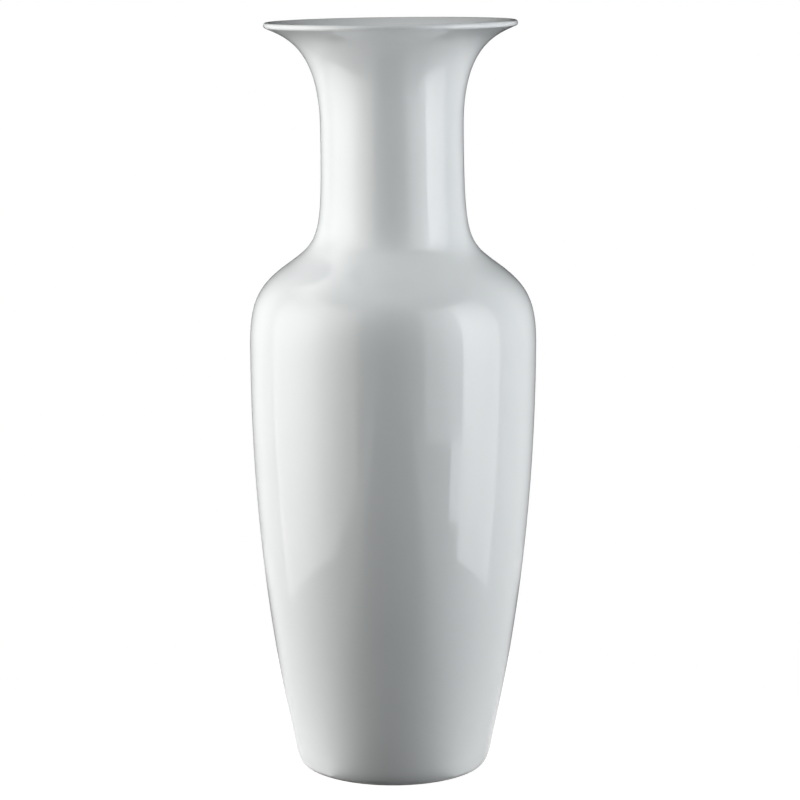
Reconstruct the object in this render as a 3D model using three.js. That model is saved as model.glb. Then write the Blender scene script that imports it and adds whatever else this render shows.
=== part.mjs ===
import * as THREE from 'three';

// Floor vase in white glazed porcelain, made as rings and a disc that are luted together with slip.
// Lengths are in millimetres and angles in degrees. +Z is up, the vase stands on z = 0,
// and the z axis is the axis of its body.

// Foot: a turned ring with a disc set into its rebate as the floor of the vase
const FOOT_RADIUS = 82.8; // outside, where the wall starts
const FOOT_TUCK = 7.8; // how far the standing face's outer edge lies inside that
const STANDING_WIDTH = 11; // from the standing face's outer edge in to the recess
const FOOT_BEVEL = 2; // inner edge of the standing face
const RECESS_DEPTH = 8; // hollow under the floor
const DISC_THICKNESS = 8;
const DISC_ARCH = 2; // rise of the floor's middle, against sagging in the kiln
const FOOT_RIM_WIDTH = 6.8; // upstand of the ring round the disc
const LUTING_GAP = 0.3; // slip between the disc's edge and the upstand

// Body and neck: heights of the stretches of wall, from the foot ring up
const BODY_RISE = 339; // foot ring to belly
const SHOULDER_RISE = 65; // belly to the steepest place on the shoulder
const THROAT_RISE = 113; // steepest place to the neck's waist
const FLARE_RISE = 86.6; // waist to the top of the lip
const BELLY_RADIUS = 118;
const SHOULDER_RADIUS = 88.8; // outside, at the steepest place
const WAIST_RADIUS = 58.45;
const MOUTH_RADIUS = 103.2;
const FOOT_HEADING = 10.5; // the wall's slope off plumb at each end of the stretches
const SHOULDER_HEADING = 53.6;
const LIP_HEADING = 67.4;

// Fullness: how far each stretch keeps the slope of its lower and its upper end, as a share of its rise
const BODY_FULLNESS = [0.1, 0.55];
const SHOULDER_FULLNESS = [0.54, 0.43];
const THROAT_FULLNESS = [0.31, 0.82];
const FLARE_FULLNESS = [0.78, 0.24];

// Wall thickness, thinning from the foot up to the round lip
const FOOT_WALL = 8.5;
const BELLY_WALL = 6;
const WAIST_WALL = 5.5;
const LIP_RADIUS = 2.4; // half of the wall at the mouth

// Joints: the body is luted at half its height, and the neck just above the shoulder's steepest place
const BODY_JOINT_RISE = 200; // above the foot ring
const NECK_JOINT_RISE = 10; // above the steepest place
const RIDGE_DEPTH = 1.5; // slip smoothed over each joint on the inside
const RIDGE_REACH = 9;
const COVE_DEPTH = 4; // thickening of the wall where it meets the floor
const COVE_REACH = 14;

// The neck was luted a little out of true and leans towards -X
const NECK_LEAN = 0.73;
const LEAN_RISE = 60; // height in which the lean comes on

// Facets
const TURNS = 64;
const FOOT_STEPS = 4;
const ARCH_STEPS = 3;
const BODY_STEPS = 9;
const SHOULDER_STEPS = 7;
const THROAT_STEPS = 10;
const FLARE_STEPS = 9;
const LIP_STEPS = 5;
const RIDGE_STEPS = 2;
const LEAST_STEP = 1; // points nearer than this to a joint are left out

const DEG = Math.PI / 180;

const footTop = RECESS_DEPTH + DISC_THICKNESS;
const bodyJointHeight = footTop + BODY_JOINT_RISE;
const bellyHeight = footTop + BODY_RISE;
const shoulderHeight = bellyHeight + SHOULDER_RISE;
const neckJointHeight = shoulderHeight + NECK_JOINT_RISE;
const waistHeight = shoulderHeight + THROAT_RISE;
const mouthHeight = waistHeight + FLARE_RISE;
const recessRadius = FOOT_RADIUS - FOOT_TUCK - STANDING_WIDTH;
const rebateRadius = FOOT_RADIUS - FOOT_RIM_WIDTH;

const glaze = new THREE.MeshStandardMaterial({ color: 0xe4e8e8, roughness: 0.08, metalness: 0 });
const barePorcelain = new THREE.MeshStandardMaterial({ color: 0xded9cf, roughness: 0.6, metalness: 0 });

// A place on the outside of the wall, and the way the wall heads there, in degrees off plumb
function station(radius, height, heading) {
  const way = new THREE.Vector2(Math.sin(heading * DEG), Math.cos(heading * DEG));
  return { place: new THREE.Vector2(radius, height), way };
}

// One stretch of wall between two stations, as an outside line and an inside line.
// The inside lies square to the outside, at a thickness that changes evenly.
function stretch(low, high, fullness, walls, steps) {
  const rise = high.place.y - low.place.y;
  const lowPull = low.place.clone().addScaledVector(low.way, fullness[0] * rise);
  const highPull = high.place.clone().addScaledVector(high.way, -fullness[1] * rise);
  const curve = new THREE.CubicBezierCurve(low.place, lowPull, highPull, high.place);
  const outside = [];
  const inside = [];
  for (let step = 0; step <= steps; step++) {
    const share = step / steps;
    const point = curve.getPoint(share);
    const way = curve.getTangent(share);
    const wall = THREE.MathUtils.lerp(walls[0], walls[1], share);
    outside.push(point);
    inside.push(new THREE.Vector2(point.x - way.y * wall, point.y + way.x * wall));
  }
  return { outside, inside };
}

// Radius of a rising line at a height
function radiusAt(line, height) {
  const next = Math.max(1, line.findIndex((point) => point.y >= height));
  const below = line[next - 1];
  const above = line[next];
  const share = (height - below.y) / (above.y - below.y);
  return THREE.MathUtils.lerp(below.x, above.x, share);
}

// The part of a rising line between two heights, cut level at both
function between(line, low, high) {
  const middle = line.filter((point) => point.y > low + LEAST_STEP && point.y < high - LEAST_STEP);
  const start = new THREE.Vector2(radiusAt(line, low), low);
  const end = new THREE.Vector2(radiusAt(line, high), high);
  return [start, ...middle, end];
}

// The inside line with the wall swelling smoothly inwards round one height
function swelled(line, height, depth, reach) {
  const swelling = [];
  for (let step = -RIDGE_STEPS; step <= RIDGE_STEPS; step++) {
    const level = height + (reach * step) / RIDGE_STEPS;
    const swell = (depth * (1 + Math.cos((Math.PI * step) / RIDGE_STEPS))) / 2;
    swelling.push(new THREE.Vector2(radiusAt(line, level) - swell, level));
  }
  const below = line.filter((point) => point.y < height - reach - LEAST_STEP);
  const above = line.filter((point) => point.y > height + reach + LEAST_STEP);
  return [...below, ...swelling, ...above];
}

// The whole wall, as one outside and one inside line from the foot ring to the lip
function wallLines() {
  const lipAngle = -LIP_HEADING * DEG;
  const lipCentre = new THREE.Vector2(MOUTH_RADIUS - LIP_RADIUS, mouthHeight - LIP_RADIUS);
  const lipEdge = new THREE.Vector2(Math.cos(lipAngle), Math.sin(lipAngle));
  lipEdge.multiplyScalar(LIP_RADIUS).add(lipCentre);

  const foot = station(FOOT_RADIUS, footTop, FOOT_HEADING);
  const belly = station(BELLY_RADIUS, bellyHeight, 0);
  const shoulder = station(SHOULDER_RADIUS, shoulderHeight, -SHOULDER_HEADING);
  const waist = station(WAIST_RADIUS, waistHeight, 0);
  const lip = station(lipEdge.x, lipEdge.y, LIP_HEADING);

  const shoulderWall = (BELLY_WALL + WAIST_WALL) / 2;
  const stretches = [
    stretch(foot, belly, BODY_FULLNESS, [FOOT_WALL, BELLY_WALL], BODY_STEPS),
    stretch(belly, shoulder, SHOULDER_FULLNESS, [BELLY_WALL, shoulderWall], SHOULDER_STEPS),
    stretch(shoulder, waist, THROAT_FULLNESS, [shoulderWall, WAIST_WALL], THROAT_STEPS),
    stretch(waist, lip, FLARE_FULLNESS, [WAIST_WALL, 2 * LIP_RADIUS], FLARE_STEPS),
  ];
  const outside = [foot.place];
  let inside = [stretches[0].inside[0]];
  for (const part of stretches) {
    outside.push(...part.outside.slice(1));
    inside.push(...part.inside.slice(1));
  }
  // Below its first point the inside runs plumb down to the floor, where the cove is laid against it.
  inside.unshift(new THREE.Vector2(inside[0].x, footTop - COVE_REACH - LEAST_STEP));
  inside = swelled(inside, footTop, COVE_DEPTH, COVE_REACH);
  inside = swelled(inside, bodyJointHeight, RIDGE_DEPTH, RIDGE_REACH);
  inside = swelled(inside, neckJointHeight, RIDGE_DEPTH, RIDGE_REACH);

  const round = new THREE.EllipseCurve(
    lipCentre.x, lipCentre.y, LIP_RADIUS, LIP_RADIUS, lipAngle, lipAngle + Math.PI,
  );
  return { outside, inside, lip: round.getPoints(LIP_STEPS) };
}

// A body turned round the z axis from a closed outline of radii and heights
function turned(name, outline, material) {
  const geometry = new THREE.LatheGeometry([...outline, outline[0]], TURNS);
  geometry.rotateX(Math.PI / 2);
  const mesh = new THREE.Mesh(geometry, material);
  mesh.name = name;
  return mesh;
}

function footRing() {
  const standingRadius = FOOT_RADIUS - FOOT_TUCK;
  const corner = new THREE.Vector2(FOOT_RADIUS - footTop * Math.tan(FOOT_HEADING * DEG), 0);
  const side = new THREE.QuadraticBezierCurve(
    new THREE.Vector2(standingRadius, 0), corner, new THREE.Vector2(FOOT_RADIUS, footTop),
  );
  const outline = [
    new THREE.Vector2(recessRadius + FOOT_BEVEL, 0),
    ...side.getPoints(FOOT_STEPS),
    new THREE.Vector2(rebateRadius, footTop),
    new THREE.Vector2(rebateRadius, RECESS_DEPTH),
    new THREE.Vector2(recessRadius, RECESS_DEPTH),
    new THREE.Vector2(recessRadius, FOOT_BEVEL),
  ];
  return turned('foot_ring', outline, barePorcelain);
}

// The floor rests on the foot ring's ledge, and is arched over the recess.
function baseDisc() {
  const edge = rebateRadius - LUTING_GAP;
  const arch = (height) => new THREE.QuadraticBezierCurve(
    new THREE.Vector2(0, height + DISC_ARCH),
    new THREE.Vector2(recessRadius / 2, height + DISC_ARCH),
    new THREE.Vector2(recessRadius, height),
  ).getPoints(ARCH_STEPS);
  const outline = [
    ...arch(RECESS_DEPTH),
    new THREE.Vector2(edge, RECESS_DEPTH),
    new THREE.Vector2(edge, footTop),
    ...arch(footTop).reverse(),
  ];
  return turned('base_disc', outline, glaze);
}

// One thrown ring of the wall, with level joint faces
function wallRing(name, wall, low, high) {
  const outline = [...between(wall.outside, low, high), ...between(wall.inside, low, high).reverse()];
  return turned(name, outline, glaze);
}

// Tips each level of a turned body towards -X, by an angle that comes on smoothly above the joint
function leaned(mesh, low) {
  const places = mesh.geometry.attributes.position;
  const slope = Math.sin(NECK_LEAN * DEG);
  for (let index = 0; index < places.count; index++) {
    const x = places.getX(index);
    const z = places.getZ(index);
    const rise = Math.max(0, z - low);
    const share = Math.min(1, rise / LEAN_RISE);
    const tilt = NECK_LEAN * DEG * share * share * (3 - 2 * share);
    const settled = Math.max(0, rise - LEAN_RISE);
    const drift = slope * (LEAN_RISE * (share ** 3 - share ** 4 / 2) + settled);
    places.setX(index, x * Math.cos(tilt) - drift);
    places.setZ(index, z + x * Math.sin(tilt));
  }
  mesh.geometry.computeVertexNormals();
  return mesh;
}

// The neck runs from its joint face up the outside, round the lip and down the inside
function neck(wall) {
  const outside = wall.outside.filter((point) => point.y > neckJointHeight + LEAST_STEP);
  const inside = wall.inside.filter((point) => point.y > neckJointHeight + LEAST_STEP);
  const outline = [
    new THREE.Vector2(radiusAt(wall.outside, neckJointHeight), neckJointHeight),
    ...outside,
    ...wall.lip.slice(1, -1),
    ...inside.reverse(),
    new THREE.Vector2(radiusAt(wall.inside, neckJointHeight), neckJointHeight),
  ];
  return leaned(turned('neck', outline, glaze), neckJointHeight);
}

const wall = wallLines();
const vase = new THREE.Group();
vase.name = 'floor_vase';
vase.add(
  footRing(),
  baseDisc(),
  wallRing('lower_body', wall, footTop, bodyJointHeight),
  wallRing('upper_body', wall, bodyJointHeight, neckJointHeight),
  neck(wall),
);

export default vase;
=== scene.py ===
import math

import bpy
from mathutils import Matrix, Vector
from mathutils.geometry import interpolate_bezier


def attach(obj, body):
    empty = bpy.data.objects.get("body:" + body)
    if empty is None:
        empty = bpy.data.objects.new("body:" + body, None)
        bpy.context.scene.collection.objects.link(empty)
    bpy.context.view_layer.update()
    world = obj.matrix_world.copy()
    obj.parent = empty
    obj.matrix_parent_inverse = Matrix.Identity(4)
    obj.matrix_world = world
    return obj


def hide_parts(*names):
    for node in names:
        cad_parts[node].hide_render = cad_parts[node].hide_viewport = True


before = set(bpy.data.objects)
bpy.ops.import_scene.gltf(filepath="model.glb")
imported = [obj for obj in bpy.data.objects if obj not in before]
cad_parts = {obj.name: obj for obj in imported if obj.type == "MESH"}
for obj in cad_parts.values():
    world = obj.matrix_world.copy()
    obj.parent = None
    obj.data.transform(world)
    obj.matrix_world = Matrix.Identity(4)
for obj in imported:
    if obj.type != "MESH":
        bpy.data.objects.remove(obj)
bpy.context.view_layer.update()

# Lengths of the vase are in millimetres here, and become metres where a piece is modelled.
MM = 0.001
TURNS = 192  # sides to the turn
CUT_CLEARANCE = 0.05  # places of an outline nearer than this to a cut are left out
CRISP_ANGLE = math.radians(30)  # edges sharper than this aren't smoothed

# Camera
CAMERA_PLACE = (0.00565, -2.181, 0.688)  # metres
CAMERA_TILT = math.radians(80.12)  # off straight down
LENS = 120.15  # focal length in millimetres
SENSOR_WIDTH = 36  # millimetres

# Foot: a turned ring with a disc set into its rebate as the floor of the vase
FOOT_RADIUS = 82.8
FOOT_TUCK = 7.8
FOOT_HEADING = 10.5
STANDING_WIDTH = 11
FOOT_BEVEL = 2
RECESS_DEPTH = 8
DISC_THICKNESS = 8
DISC_ARCH = 2
FOOT_RIM_WIDTH = 6.8
LUTING_GAP = 0.3
GLAZE_START = 1.6  # height at which the glaze was wiped off the foot
GLAZE_ROLL = 0.3  # radius of the glaze's rounded edge there
FOOT_TOP = RECESS_DEPTH + DISC_THICKNESS
STANDING_RADIUS = FOOT_RADIUS - FOOT_TUCK
RECESS_RADIUS = STANDING_RADIUS - STANDING_WIDTH
REBATE_RADIUS = FOOT_RADIUS - FOOT_RIM_WIDTH
FOOT_STEPS = 24  # steps along its rounded side
BEVEL_STEPS = 5  # steps round the inner edge of the standing face
ROLL_STEPS = 5  # steps round the glaze's edge
DISC_STEPS = 16  # steps from the disc's middle to the recess
DISC_EYE = 0.05  # radius of the disc's innermost ring, as a share of a step

# Outside of the wall: radius, height and heading off plumb, in degrees, at the ends of its four stretches
FOOT = (FOOT_RADIUS, FOOT_TOP, FOOT_HEADING)
BELLY = (118, 355, 0)
SHOULDER = (88.8, 420, -53.6)
WAIST = (58.45, 533, 0)
MOUTH_RADIUS = 103.2
MOUTH_HEIGHT = 619.54
LIP_RADIUS = 2.4
LIP_HEADING = 67.4
LIP_STEPS = 14

# Each stretch: share of its rise that keeps the slope of its two ends, wall thickness there, and rings
BODY_STRETCH = ((0.1, 0.55), (8.5, 6), 72)
SHOULDER_STRETCH = ((0.54, 0.43), (6, 5.75), 40)
THROAT_STRETCH = ((0.31, 0.82), (5.75, 5.5), 48)
FLARE_STRETCH = ((0.78, 0.24), (5.5, 2 * LIP_RADIUS), 48)

# Joints between the thrown rings, with the slip that was smoothed over them on the inside
BODY_JOINT = 216
NECK_JOINT = 430
RIDGE_DEPTH = 1.5
RIDGE_REACH = 9
COVE_DEPTH = 4
COVE_REACH = 14

# The neck leans towards -X, by an angle that comes on smoothly above its joint
NECK_LEAN = math.radians(0.73)
LEAN_RISE = 60


def place_camera():
    bpy.ops.object.camera_add(location=CAMERA_PLACE, rotation=(CAMERA_TILT, 0, 0))
    camera = bpy.context.object
    camera.name = "camera"
    camera.data.lens = LENS
    camera.data.sensor_width = SENSOR_WIDTH
    bpy.context.scene.camera = camera


# Outlines: lists of (radius, height)

def stretch(low, high, fullness, walls, rings):
    """Places on the outside between two stations, each with the wall's thickness there."""
    ends = []
    for radius, height, heading in (low, high):
        way = Vector((math.sin(math.radians(heading)), 0, math.cos(math.radians(heading))))
        ends.append((Vector((radius, 0, height)), way))
    (start, start_way), (end, end_way) = ends
    rise = end.z - start.z
    low_pull = start + start_way * fullness[0] * rise
    high_pull = end - end_way * fullness[1] * rise
    places = []
    for ring, point in enumerate(interpolate_bezier(start, low_pull, high_pull, end, rings + 1)):
        wall = walls[0] + (walls[1] - walls[0]) * ring / rings
        places.append((point.x, point.z, wall))
    return places


def inner_line(outside):
    """The line square to the outside at the wall's thickness, with the cove and the ridges of slip."""
    last = len(outside) - 1
    inside = []
    for index, (radius, height, wall) in enumerate(outside):
        before = outside[max(index - 1, 0)]
        after = outside[min(index + 1, last)]
        way = Vector((after[0] - before[0], after[1] - before[1])).normalized()
        inside.append([radius - way.y * wall, height + way.x * wall])
    swellings = (
        (FOOT_TOP, COVE_DEPTH, COVE_REACH),
        (BODY_JOINT, RIDGE_DEPTH, RIDGE_REACH),
        (NECK_JOINT, RIDGE_DEPTH, RIDGE_REACH),
    )
    for level, depth, reach in swellings:
        for place in inside:
            off = abs(place[1] - level) / reach
            if off < 1:
                place[0] -= depth * (1 + math.cos(math.pi * off)) / 2
    return [tuple(place) for place in inside]


def lip_round():
    """Half circle from the outside of the flare over the lip to its inside."""
    start = math.radians(-LIP_HEADING)
    places = []
    for step in range(LIP_STEPS + 1):
        turn = start + math.pi * step / LIP_STEPS
        radius = MOUTH_RADIUS - LIP_RADIUS + LIP_RADIUS * math.cos(turn)
        height = MOUTH_HEIGHT - LIP_RADIUS + LIP_RADIUS * math.sin(turn)
        places.append((radius, height))
    return places


def wall_lines():
    """Outside, inside and lip of the whole wall, from the foot ring up."""
    lip = lip_round()
    flare_end = (*lip[0], LIP_HEADING)
    outside = stretch(FOOT, BELLY, *BODY_STRETCH)
    outside += stretch(BELLY, SHOULDER, *SHOULDER_STRETCH)[1:]
    outside += stretch(SHOULDER, WAIST, *THROAT_STRETCH)[1:]
    outside += stretch(WAIST, flare_end, *FLARE_STRETCH)[1:]
    return [place[:2] for place in outside], inner_line(outside), lip


def cut_at(line, height):
    """The place at which a rising line crosses a height, or straight below the line's start."""
    for below, above in zip(line, line[1:]):
        if below[1] <= height <= above[1]:
            share = (height - below[1]) / (above[1] - below[1])
            return (below[0] + (above[0] - below[0]) * share, height)
    return (line[0][0], height)


def between(line, low, high):
    """The part of a rising line between two heights, cut level at both."""
    middle = [place for place in line if low + CUT_CLEARANCE < place[1] < high - CUT_CLEARANCE]
    return [cut_at(line, low), *middle, cut_at(line, high)]


def above(line, low):
    """The part of a rising line over a height, cut level there."""
    return [cut_at(line, low), *[place for place in line if place[1] > low + CUT_CLEARANCE]]


def foot_side():
    """Outside of the foot ring, rounding up from the standing face to the wall."""
    corner = FOOT_RADIUS - FOOT_TOP * math.tan(math.radians(FOOT_HEADING))
    places = []
    for step in range(FOOT_STEPS + 1):
        share = step / FOOT_STEPS
        radius = STANDING_RADIUS * (1 - share) ** 2 + corner * 2 * share * (1 - share)
        radius += FOOT_RADIUS * share ** 2
        places.append((radius, FOOT_TOP * share ** 2))
    return places


# Turning

def lean_at(height):
    """Tilt and sideways drift of the neck at a height."""
    rise = max(0, height - NECK_JOINT)
    share = min(1, rise / LEAN_RISE)
    tilt = NECK_LEAN * share * share * (3 - 2 * share)
    drift = math.sin(NECK_LEAN) * (LEAN_RISE * (share ** 3 - share ** 4 / 2) + max(0, rise - LEAN_RISE))
    return tilt, drift


def raise_rings(name, outline, leaning=False):
    """An open turned skin, raised ring by ring from the outline's first place.

    Its last ring stays selected.
    """
    bpy.ops.object.select_all(action="DESELECT")
    radius, height = outline[0]
    bpy.ops.mesh.primitive_circle_add(vertices=TURNS, radius=radius * MM, location=(0, 0, height * MM))
    piece = bpy.context.object
    piece.name = name
    piece.data.name = name
    bpy.ops.object.transform_apply(location=True, rotation=False, scale=False)
    bpy.ops.object.mode_set(mode="EDIT")
    bpy.ops.mesh.select_all(action="SELECT")
    tilt, drift = lean_at(height) if leaning else (0, 0)
    for next_radius, next_height in outline[1:]:
        next_tilt, next_drift = lean_at(next_height) if leaning else (0, 0)
        step = ((drift - next_drift) * MM, 0, (next_height - height) * MM)
        centre = (-next_drift * MM, 0, next_height * MM)
        grow = next_radius / radius
        bpy.ops.mesh.extrude_region_move(TRANSFORM_OT_translate={"value": step})
        bpy.ops.transform.resize(value=(grow, grow, grow), center_override=centre)
        if next_tilt != tilt:
            bpy.ops.transform.rotate(value=next_tilt - tilt, orient_axis="Y", center_override=centre)
        radius, height, tilt, drift = next_radius, next_height, next_tilt, next_drift
    return piece


def finish_turning(piece):
    bpy.ops.mesh.select_all(action="SELECT")
    bpy.ops.mesh.normals_make_consistent(inside=False)
    bpy.ops.object.mode_set(mode="OBJECT")
    bpy.ops.object.shade_smooth_by_angle(angle=CRISP_ANGLE)
    return piece


def turned_ring(name, outline, leaning=False):
    """A hollow turned body: its last ring is bridged back to its first."""
    piece = raise_rings(name, outline, leaning)
    bpy.ops.mesh.select_all(action="DESELECT")
    bpy.ops.mesh.select_non_manifold()
    bpy.ops.mesh.bridge_edge_loops()
    return finish_turning(piece)


def turned_disc(name, outline):
    """A solid turned body: its first and last rings are drawn together on the axis."""
    piece = raise_rings(name, outline)
    bpy.ops.mesh.merge(type="CENTER")
    bpy.ops.mesh.select_all(action="DESELECT")
    bpy.ops.mesh.select_non_manifold()
    bpy.ops.mesh.merge(type="CENTER")
    return finish_turning(piece)


# Pieces

def make_bare_foot():
    """The standing face and its rounding, wiped free of glaze."""
    side = between(foot_side(), 0, GLAZE_START)
    outline = [(RECESS_RADIUS + FOOT_BEVEL, 0), *side, (RECESS_RADIUS, GLAZE_START)]
    for step in range(1, BEVEL_STEPS):
        turn = math.pi / 2 * step / BEVEL_STEPS
        radius = RECESS_RADIUS + FOOT_BEVEL * (1 - math.cos(turn))
        height = GLAZE_START * (1 - math.sin(turn))
        outline.append((radius, height))
    return turned_ring("bare_standing_rim", outline)


def make_glazed_foot():
    """The glazed outside, rebate and recess of the foot ring, with the glaze rolled over at its edge."""
    side = above(foot_side(), GLAZE_START + GLAZE_ROLL)
    edge_radius = side[0][0]
    roll = []
    for step in range(ROLL_STEPS + 1):
        turn = -math.pi / 2 + math.pi / 2 * step / ROLL_STEPS
        radius = edge_radius - GLAZE_ROLL + GLAZE_ROLL * math.cos(turn)
        height = GLAZE_START + GLAZE_ROLL + GLAZE_ROLL * math.sin(turn)
        roll.append((radius, height))
    outline = [*roll, *side, (REBATE_RADIUS, FOOT_TOP), (REBATE_RADIUS, RECESS_DEPTH)]
    outline += [(RECESS_RADIUS, RECESS_DEPTH), (RECESS_RADIUS, GLAZE_START)]
    return turned_ring("glazed_foot_ring", outline)


def make_floor_disc():
    """The slab that closes the vase, arched over the recess."""
    edge = REBATE_RADIUS - LUTING_GAP

    def arch(radius, level):
        share = radius / RECESS_RADIUS
        return level + DISC_ARCH * (1 - share) * (1 + share)

    radii = [RECESS_RADIUS * (step + DISC_EYE) / DISC_STEPS for step in range(DISC_STEPS)]
    radii.append(RECESS_RADIUS)
    under = [(radius, arch(radius, RECESS_DEPTH)) for radius in radii]
    top = [(radius, arch(radius, FOOT_TOP)) for radius in radii]
    outline = [*under, (edge, RECESS_DEPTH), (edge, FOOT_TOP), *top[::-1]]
    return turned_disc("glazed_floor_disc", outline)


def make_wall_rings():
    outside, inside, lip = wall_lines()
    made = {}
    for node, low, high in (("lower_body", FOOT_TOP, BODY_JOINT), ("upper_body", BODY_JOINT, NECK_JOINT)):
        outline = between(outside, low, high) + between(inside, low, high)[::-1]
        made[node] = turned_ring("glazed_" + node, outline)
    outline = above(outside, NECK_JOINT)[:-1] + lip[:-1] + above(inside, NECK_JOINT)[::-1]
    made["neck"] = turned_ring("glazed_neck", outline, leaning=True)
    return made


# Materials

SPECKLESS_SHARE = 0.8  # share of the cells that hold no speck


def socket(tree, name, kind, inward, value=None):
    made = tree.interface.new_socket(name=name, in_out="INPUT" if inward else "OUTPUT", socket_type=kind)
    if value is not None:
        made.default_value = value


def fired_surface_group():
    """Unevenness of a fired surface: slow drift of tone, iron specks, ripples and grain.

    Its own values are those of the glaze.
    """
    tree = bpy.data.node_groups.new("fired surface", "ShaderNodeTree")
    socket(tree, "Ripple Scale", "NodeSocketFloat", True, 55.0)
    socket(tree, "Ripple", "NodeSocketFloat", True, 1.0)
    socket(tree, "Grain Scale", "NodeSocketFloat", True, 700.0)
    socket(tree, "Grain", "NodeSocketFloat", True, 0.01)
    socket(tree, "Speck Scale", "NodeSocketFloat", True, 70.0)
    socket(tree, "Speck Size", "NodeSocketFloat", True, 0.012)
    socket(tree, "Tone", "NodeSocketFloat", False)
    socket(tree, "Specks", "NodeSocketFloat", False)
    socket(tree, "Height", "NodeSocketFloat", False)
    nodes, links = tree.nodes, tree.links
    given = nodes.new("NodeGroupInput")
    out = nodes.new("NodeGroupOutput")
    place = nodes.new("ShaderNodeTexCoord")

    tone = nodes.new("ShaderNodeTexNoise")
    tone.inputs["Scale"].default_value = 9.0
    tone.inputs["Detail"].default_value = 3.0
    links.new(place.outputs["Object"], tone.inputs["Vector"])
    links.new(tone.outputs["Fac"], out.inputs["Tone"])

    cells = nodes.new("ShaderNodeTexVoronoi")
    links.new(place.outputs["Object"], cells.inputs["Vector"])
    links.new(given.outputs["Speck Scale"], cells.inputs["Scale"])
    near = nodes.new("ShaderNodeMath")
    near.operation = "LESS_THAN"
    links.new(cells.outputs["Distance"], near.inputs[0])
    links.new(given.outputs["Speck Size"], near.inputs[1])
    chosen = nodes.new("ShaderNodeSeparateColor")
    links.new(cells.outputs["Color"], chosen.inputs["Color"])
    rare = nodes.new("ShaderNodeMath")
    rare.operation = "GREATER_THAN"
    rare.inputs[1].default_value = SPECKLESS_SHARE
    links.new(chosen.outputs["Red"], rare.inputs[0])
    both = nodes.new("ShaderNodeMath")
    both.operation = "MULTIPLY"
    links.new(near.outputs[0], both.inputs[0])
    links.new(rare.outputs[0], both.inputs[1])
    links.new(both.outputs[0], out.inputs["Specks"])

    ripple = nodes.new("ShaderNodeTexNoise")
    ripple.inputs["Detail"].default_value = 1.0
    links.new(place.outputs["Object"], ripple.inputs["Vector"])
    links.new(given.outputs["Ripple Scale"], ripple.inputs["Scale"])
    patches = nodes.new("ShaderNodeTexNoise")
    patches.inputs["Scale"].default_value = 16.0
    patches.inputs["Detail"].default_value = 1.0
    links.new(place.outputs["Object"], patches.inputs["Vector"])
    patchy = nodes.new("ShaderNodeMapRange")
    patchy.interpolation_type = "SMOOTHSTEP"
    patchy.inputs["From Min"].default_value = 0.45
    patchy.inputs["From Max"].default_value = 0.75
    patchy.inputs["To Min"].default_value = 0.25
    patchy.inputs["To Max"].default_value = 1.0
    links.new(patches.outputs["Fac"], patchy.inputs["Value"])
    waves = nodes.new("ShaderNodeMath")
    waves.operation = "MULTIPLY"
    links.new(ripple.outputs["Fac"], waves.inputs[0])
    links.new(patchy.outputs["Result"], waves.inputs[1])
    swell = nodes.new("ShaderNodeMath")
    swell.operation = "MULTIPLY"
    links.new(waves.outputs[0], swell.inputs[0])
    links.new(given.outputs["Ripple"], swell.inputs[1])
    grain = nodes.new("ShaderNodeTexNoise")
    grain.inputs["Detail"].default_value = 2.0
    links.new(place.outputs["Object"], grain.inputs["Vector"])
    links.new(given.outputs["Grain Scale"], grain.inputs["Scale"])
    height = nodes.new("ShaderNodeMath")
    height.operation = "MULTIPLY_ADD"
    links.new(grain.outputs["Fac"], height.inputs[0])
    links.new(given.outputs["Grain"], height.inputs[1])
    links.new(swell.outputs[0], height.inputs[2])
    links.new(height.outputs[0], out.inputs["Height"])
    return tree


def fired_material(name, surface, tones, speck, roughness, rough_spread, bump, values=()):
    """A fired finish: two tones, specks, and a surface relief of a given depth in metres."""
    material = bpy.data.materials.new(name)
    material.use_nodes = True
    nodes, links = material.node_tree.nodes, material.node_tree.links
    shader = nodes["Principled BSDF"]
    fired = nodes.new("ShaderNodeGroup")
    fired.node_tree = surface
    for key, value in values:
        fired.inputs[key].default_value = value

    drift = nodes.new("ShaderNodeMapRange")
    drift.inputs["From Min"].default_value = 0.3
    drift.inputs["From Max"].default_value = 0.7
    links.new(fired.outputs["Tone"], drift.inputs["Value"])
    body = nodes.new("ShaderNodeMix")
    body.data_type = "RGBA"
    body.inputs["A"].default_value = (*tones[0], 1)
    body.inputs["B"].default_value = (*tones[1], 1)
    links.new(drift.outputs["Result"], body.inputs["Factor"])
    specked = nodes.new("ShaderNodeMix")
    specked.data_type = "RGBA"
    specked.inputs["B"].default_value = (*speck, 1)
    links.new(fired.outputs["Specks"], specked.inputs["Factor"])
    links.new(body.outputs["Result"], specked.inputs["A"])
    links.new(specked.outputs["Result"], shader.inputs["Base Color"])

    gloss = nodes.new("ShaderNodeMapRange")
    gloss.inputs["To Min"].default_value = roughness
    gloss.inputs["To Max"].default_value = roughness + rough_spread
    links.new(fired.outputs["Tone"], gloss.inputs["Value"])
    links.new(gloss.outputs["Result"], shader.inputs["Roughness"])

    relief = nodes.new("ShaderNodeBump")
    relief.inputs["Strength"].default_value = 1.0
    relief.inputs["Distance"].default_value = bump
    links.new(fired.outputs["Height"], relief.inputs["Height"])
    links.new(relief.outputs["Normal"], shader.inputs["Normal"])
    shader.inputs["IOR"].default_value = 1.5
    return material


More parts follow.
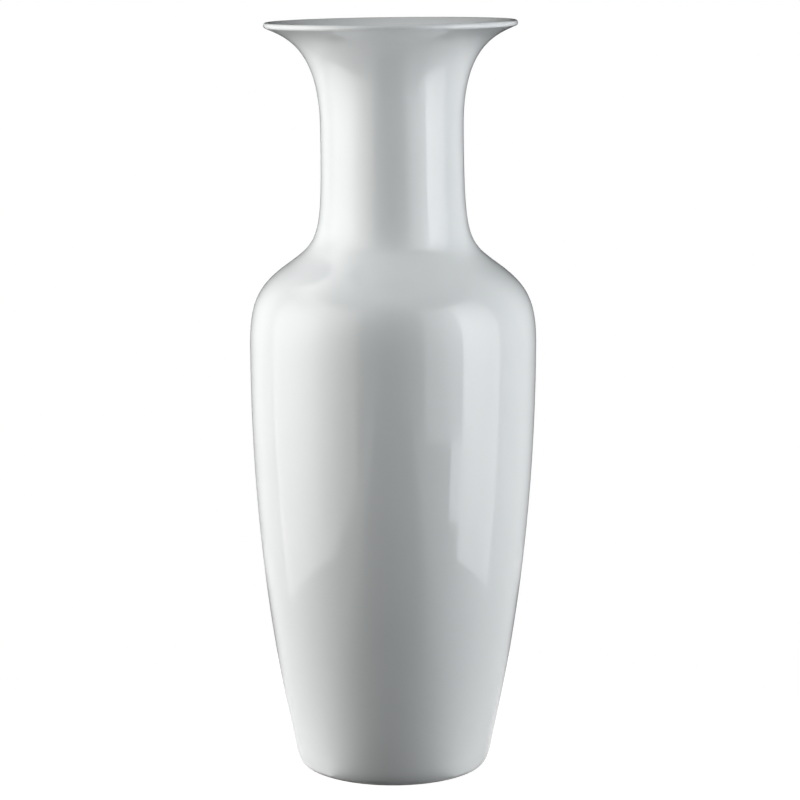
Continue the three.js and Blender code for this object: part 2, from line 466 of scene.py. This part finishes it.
def make_materials():
    surface = fired_surface_group()
    glaze = fired_material(
        "white glaze", surface,
        tones=((0.775, 0.815, 0.822), (0.795, 0.83, 0.837)), speck=(0.62, 0.6, 0.55),
        roughness=0.04, rough_spread=0.02, bump=0.00007,
    )
    bare = fired_material(
        "bare porcelain", surface,
        tones=((0.60, 0.57, 0.51), (0.66, 0.64, 0.59)), speck=(0.35, 0.28, 0.2),
        roughness=0.55, rough_spread=0.2, bump=0.00006,
        values=(
            ("Ripple Scale", 260.0), ("Ripple", 0.6),
            ("Grain Scale", 2600.0), ("Grain", 0.5),
            ("Speck Size", 0.05),
        ),
    )
    return glaze, bare


# Studio, in metres

ROOM_LIGHT = 0.01
TABLE_RADIUS = 0.49
TABLE_CENTRE = (0, -0.14, 0)
TABLE_SIDES = 96
FLOOR_COLOUR = (0.2, 0.2, 0.2)
FLOOR_GLOW = (0.95, 0.95, 0.95)
SOFTBOX_FOOT = -0.4  # the upright softboxes reach from below the table's level
SOFTBOX_TOP = 1.7
GLOW_STRETCH = 1.4  # by which the glow of an upright softbox is stretched along its height
# height of the flat sheets that paint reflected shade on the table
SHADE_SHEET_HEIGHT = 0.001
BOUNCE_HEIGHT = 0.003

# Where the upright softboxes meet and end on the floor plan, from the front round to the rear
LEFT_FRONT = (-0.596, -1.121)
LEFT_MIDDLE = (-1.077, -0.673)
LEFT_REAR = (-1.215, 0.371)
RIGHT_FRONT = (0.517, -1.16)
RIGHT_WING = (0.914, -0.882)
RIGHT_MIDDLE = (1.04, -0.728)
RIGHT_REAR = (1.27, 0.02)

# Colours in the studio
BLACK = (0, 0, 0)
WHITE = (1, 1, 1)
WARM = (1, 0.975, 0.96)
COOL = (0.96, 0.995, 1)
PALE_BLUE = (0.985, 0.985, 1)

UP = (0, 0, 1)
DOWN = (0, 0, -1)


def seen_directly(nodes, links):
    """1 for camera, glossy and transmission rays, and 0 for diffuse ones."""
    path = nodes.new("ShaderNodeLightPath")
    seen = path.outputs["Is Camera Ray"]
    for name in ("Is Glossy Ray", "Is Transmission Ray"):
        either = nodes.new("ShaderNodeMath")
        either.operation = "MAXIMUM"
        links.new(seen, either.inputs[0])
        links.new(path.outputs[name], either.inputs[1])
        seen = either.outputs[0]
    return seen


def make_world():
    """A white room, of which only the faint light between the lamps reaches the vase."""
    world = bpy.data.worlds.new("white studio")
    world.use_nodes = True
    nodes, links = world.node_tree.nodes, world.node_tree.links
    background = nodes["Background"]
    background.inputs["Color"].default_value = (*WHITE, 1)
    strength = nodes.new("ShaderNodeMapRange")
    strength.inputs["To Min"].default_value = ROOM_LIGHT
    strength.inputs["To Max"].default_value = 1.0
    links.new(seen_directly(nodes, links), strength.inputs["Value"])
    links.new(strength.outputs["Result"], background.inputs["Strength"])
    bpy.context.scene.world = world


def plane(name, size, location, turn=0):
    """A flat rectangle, width by depth, tipped up about X by an angle."""
    bpy.ops.object.select_all(action="DESELECT")
    bpy.ops.mesh.primitive_plane_add(size=1)
    flat = bpy.context.object
    flat.name = name
    flat.scale = (*size, 1)
    flat.rotation_euler = (turn, 0, 0)
    flat.location = location
    bpy.ops.object.transform_apply(location=True, rotation=True, scale=True)
    return flat


def matt_material(name, colour):
    material = bpy.data.materials.new(name)
    material.use_nodes = True
    shader = material.node_tree.nodes["Principled BSDF"]
    shader.inputs["Base Color"].default_value = (*colour, 1)
    shader.inputs["Roughness"].default_value = 0.9
    shader.inputs["Specular IOR Level"].default_value = 0.0
    return material


def lay_floor():
    """A round white table top that keeps the vase's shadow, but throws no light up at it."""
    bpy.ops.object.select_all(action="DESELECT")
    bpy.ops.mesh.primitive_circle_add(
        vertices=TABLE_SIDES, radius=TABLE_RADIUS, fill_type="NGON", location=TABLE_CENTRE,
    )
    floor = bpy.context.object
    floor.name = "studio_floor"
    bpy.ops.object.transform_apply(location=True, rotation=False, scale=False)
    material = matt_material("pale floor", FLOOR_COLOUR)
    nodes, links = material.node_tree.nodes, material.node_tree.links
    shader = nodes["Principled BSDF"]
    seen = seen_directly(nodes, links)
    colour = nodes.new("ShaderNodeMix")
    colour.data_type = "RGBA"
    colour.inputs["A"].default_value = (*BLACK, 1)
    colour.inputs["B"].default_value = (*FLOOR_COLOUR, 1)
    links.new(seen, colour.inputs["Factor"])
    links.new(colour.outputs["Result"], shader.inputs["Base Color"])
    shader.inputs["Emission Color"].default_value = (*FLOOR_GLOW, 1)
    links.new(seen, shader.inputs["Emission Strength"])
    floor.data.materials.append(material)


def dark_card(name, size, location, fade, upright=True):
    """A card, black in the middle, that shows only in the glaze as painted reflected shade.

    It pales to a white glow over the outer share of its size that is given as its fade, a painted
    reflection of the white room.
    """
    card = plane(name, size, location, math.pi / 2 if upright else 0)
    material = matt_material(name, BLACK)
    nodes, links = material.node_tree.nodes, material.node_tree.links
    shader = nodes["Principled BSDF"]
    place = nodes.new("ShaderNodeTexCoord")
    centred = nodes.new("ShaderNodeMapping")
    centred.vector_type = "TEXTURE"
    centred.inputs["Location"].default_value = location
    half = (size[0] / 2, size[1] / 2)
    centred.inputs["Scale"].default_value = (half[0], 1, half[1]) if upright else (*half, 1)
    links.new(place.outputs["Object"], centred.inputs["Vector"])
    middle = nodes.new("ShaderNodeTexGradient")
    middle.gradient_type = "SPHERICAL"
    links.new(centred.outputs["Vector"], middle.inputs["Vector"])
    paling = nodes.new("ShaderNodeMapRange")
    paling.interpolation_type = "SMOOTHSTEP"
    paling.inputs["From Max"].default_value = fade
    paling.inputs["To Min"].default_value = 1.0
    paling.inputs["To Max"].default_value = 0.0
    links.new(middle.outputs["Fac"], paling.inputs["Value"])
    shader.inputs["Emission Color"].default_value = (*WHITE, 1)
    links.new(paling.outputs["Result"], shader.inputs["Emission Strength"])
    card.data.materials.append(material)
    card.visible_camera = False
    card.visible_diffuse = False
    card.visible_shadow = False
    card.visible_transmission = False


def softbox(name, location, facing, size, edge, centre, colour, tall=1.0, aside=0.0):
    """A softbox turned towards a direction, brighter in its middle than at its edges.

    Edge and centre are the brightness there, where 1 is white. Tall stretches the glow along
    the softbox's height, over its ends if it is more than 1. Aside is where the glow's middle
    lies between the softbox's two sides, from -1 to 1.
    """
    turn = Vector(facing).to_track_quat("-Z", "Y").to_euler()
    bpy.ops.object.light_add(type="AREA", location=location, rotation=turn)
    lamp = bpy.context.object
    lamp.name = name
    lamp.visible_camera = False
    data = lamp.data
    data.shape = "RECTANGLE"
    data.size, data.size_y = size
    data.energy = math.pi * data.size * data.size_y  # its face then shines at 1
    data.color = colour
    data.use_nodes = True
    nodes, links = data.node_tree.nodes, data.node_tree.links
    emission = nodes["Emission"]
    face = nodes.new("ShaderNodeNewGeometry")
    centred = nodes.new("ShaderNodeMapping")
    wide = 1 + abs(aside)
    centred.inputs["Location"].default_value = (-(1 + aside) / wide, -1 / tall, 0)
    centred.inputs["Scale"].default_value = (2 / wide, 2 / tall, 0)
    links.new(face.outputs["Parametric"], centred.inputs["Vector"])
    glow = nodes.new("ShaderNodeTexGradient")
    glow.gradient_type = "SPHERICAL"
    links.new(centred.outputs["Vector"], glow.inputs["Vector"])
    strength = nodes.new("ShaderNodeMapRange")
    strength.interpolation_type = "SMOOTHSTEP"
    strength.inputs["To Min"].default_value = edge
    strength.inputs["To Max"].default_value = centre
    links.new(glow.outputs["Fac"], strength.inputs["Value"])
    links.new(strength.outputs["Result"], emission.inputs["Strength"])


def fill(name, location, facing, size, strength, colour=WHITE):
    """Even light that brightens the glaze without showing in it."""
    softbox(name, location, facing, size, strength, strength, colour)
    bpy.context.object.visible_glossy = False


def show_in_glaze_only():
    """The lamp made last shows in the glaze, but throws no light of its own on it."""
    bpy.context.object.visible_diffuse = False


def upright_softbox(name, front, rear, foot=SOFTBOX_FOOT, top=SOFTBOX_TOP, forward=0.0, **values):
    """A softbox that stands between two places on the floor plan and faces the vase.

    Forward is where the middle of its glow lies, from -1 at its rear edge to 1 at its front edge.
    """
    front, rear = Vector((*front, 0)), Vector((*rear, 0))
    along = (rear - front).normalized()
    middle = (front + rear) / 2
    facing = Vector((along.y, -along.x, 0))
    if facing.dot(middle) > 0:
        facing = -facing
    location = middle + Vector((0, 0, (foot + top) / 2))
    size = ((rear - front).length, top - foot)
    aside = forward if facing.x > 0 else -forward
    softbox(name, location, facing, size, tall=GLOW_STRETCH, aside=aside, **values)


def upright_glint(name, front, rear, **values):
    upright_softbox(name, front, rear, **values)
    show_in_glaze_only()


def hang_softboxes():
    """The tall lamps at both sides, and the parts of them that only show in the glaze."""
    upright_softbox(
        "softbox_left", LEFT_MIDDLE, LEFT_REAR,
        edge=1.1, centre=3.9, colour=WARM, forward=0.6,
    )
    upright_softbox(
        "softbox_right", RIGHT_MIDDLE, RIGHT_REAR,
        edge=1.55, centre=5.35, colour=PALE_BLUE, forward=1.0,
    )
    upright_glint(
        "glint_left", LEFT_FRONT, LEFT_MIDDLE,
        edge=1.05, centre=3.25, colour=WARM, forward=-1.0,
    )
    upright_glint(
        "glint_right", RIGHT_FRONT, RIGHT_MIDDLE, foot=0,
        edge=1.1, centre=2.9, colour=PALE_BLUE, forward=-1.0,
    )
    upright_glint(
        "glint_right_low", RIGHT_WING, RIGHT_MIDDLE, foot=-0.2, top=0,
        edge=2.7, centre=2.7, colour=PALE_BLUE,
    )
    softbox("glint_above_left", (-0.95, 0.5, 1.6), DOWN, (1.6, 2.2), edge=0, centre=1.8, colour=WARM)
    show_in_glaze_only()


def hang_fills():
    """Even lamps round the vase: place, direction, width and height, strength and colour."""
    # Above, in front and at both sides
    fill("fill_above", (-0.85, -0.35, 1.5), (0.85, 0.35, -1), (0.5, 0.6), 0.7, WARM)
    fill("fill_before", (-0.05, -1.2, 1.2), (0, 1.2, -0.4), (0.9, 0.4), 1.66, COOL)
    fill("fill_before_right", (0.8, -1.15, 0.8), (-0.8, 1.15, -0.45), (0.4, 0.4), 0.6, COOL)
    fill("fill_high_left", (-1.2, 0.1, 1.1), (1.2, -0.1, -0.65), (0.5, 0.5), 6.5, WARM)
    fill("fill_high_right", (1.3, -0.48, 1.5), (-1.3, 0.48, -1.15), (0.4, 0.4), 1.0)

    # Low beside the foot
    fill("fill_foot_left", (-0.45, -0.04, 0.05), (1, 0.1, 0), (0.4, 0.08), 0.7, WARM)
    fill("fill_foot_right", (0.45, -0.08, 0.05), (-1, 0.2, 0), (0.4, 0.08), 0.6)
    fill("fill_heel_left", (-0.24, -0.05, 0.03), (1, 0.2, 0), (0.2, 0.05), 1.3, WARM)
    fill("fill_heel_right", (0.24, -0.08, 0.03), (-1, 0.3, 0), (0.2, 0.05), 0.6)

    # Behind, for the rear side
    fill("fill_behind", (0, 1.5, 0.6), (0, -1, 0), (0.3, 1.1), 8.0)

    # The light that a white table top throws up
    fill("bounce_left", (-0.11, -0.09, BOUNCE_HEIGHT), UP, (0.12, 0.15), 0.55, WARM)
    fill("bounce_right", (0.11, -0.11, BOUNCE_HEIGHT), UP, (0.12, 0.14), 0.38)
    fill("bounce_far_left", (-0.75, 0.1, BOUNCE_HEIGHT), UP, (0.5, 0.6), 1.6, WARM)
    fill("bounce_far_right", (0.75, 0.1, BOUNCE_HEIGHT), UP, (0.5, 0.6), 0.4)


def place_dark_cards():
    """Dark shapes between the lamps, seen only in the glaze, which paint reflected shade: the glaze's
    grey middle and its dark outline.
    """
    dark_card("studio_dark_card_behind", (1.7, 2.6), (0.03, 0.6, 0.5), 0.85)
    dark_card("studio_dark_card_before", (2.0, 8), (-0.05, -1.5, 0.2), 1.0)
    # Flat black sheets on the table, seen only in the glaze: painted reflected shade in place of an unlit
    # floor
    dark_card("studio_painted_shade_sheet", (0.84, 4.2), (0, -2.0, SHADE_SHEET_HEIGHT), 0.2, upright=False)
    dark_card("studio_painted_shade_sheet_behind", (0.9, 0.9), (0, 0.5, SHADE_SHEET_HEIGHT), 0.6, upright=False)


bpy.context.scene.view_settings.view_transform = "Standard"
place_camera()

glaze, bare = make_materials()
pieces = [("base_disc", "white_glaze", glaze, make_floor_disc())]
pieces += [("foot_ring", "white_glaze", glaze, make_glazed_foot())]
pieces += [("foot_ring", "bare_porcelain", bare, make_bare_foot())]
pieces += [(node, "white_glaze", glaze, piece) for node, piece in make_wall_rings().items()]
for node, slot, material, piece in pieces:
    piece.data.materials.append(material)
    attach(piece, "root")
    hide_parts(node)

lay_floor()
make_world()
hang_softboxes()
hang_fills()
place_dark_cards()
